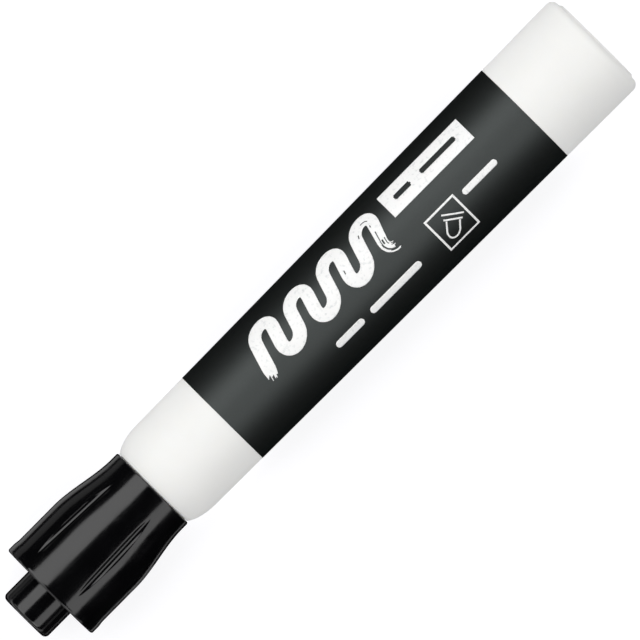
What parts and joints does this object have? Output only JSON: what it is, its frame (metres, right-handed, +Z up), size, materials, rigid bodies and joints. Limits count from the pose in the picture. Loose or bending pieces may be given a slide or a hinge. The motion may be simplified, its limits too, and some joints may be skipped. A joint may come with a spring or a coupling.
{
  "type": "whiteboard marker",
  "caption": "Capped whiteboard marker: tapered white barrel with a dark printed label, fluted black pull-off cap with a stud that plugs into the rear socket, felt bullet nib inside.",
  "frame": {"origin": "on the surface the marker lies on, under the middle of its length", "axes": "+X along the marker's axis from the cap's stud to the rear end, +Z up through the middle of the printed side"},
  "size_m": [0.121, 0.0182, 0.0182],
  "materials": {
    "white_plastic": "satin moulded polypropylene",
    "black_plastic": "gloss moulded polypropylene",
    "label_film": "satin printed film",
    "print_ink": "white ink printed on the film",
    "ink_fibre": "ink-soaked polyester fibre",
    "wrap_film": "clear wrapped film",
    "nib_felt": "ink-soaked pressed felt",
    "seal_plastic": "soft natural polyethylene"
  },
  "bodies": {
    "marker": {"barrel": "white_plastic", "end_plug": "white_plastic", "label_sleeve": "label_film", "ink_reservoir": "ink_fibre", "reservoir_wrap": "wrap_film", "nib": "nib_felt"},
    "cap": {"cap_shell": "black_plastic", "cap_seal": "seal_plastic"}
  },
  "joints": [
    {"name": "cap_pull", "type": "slide", "parent": "marker", "child": "cap", "axis": [-1, 0, 0], "range_m": [0, 0.036]}
  ]
}
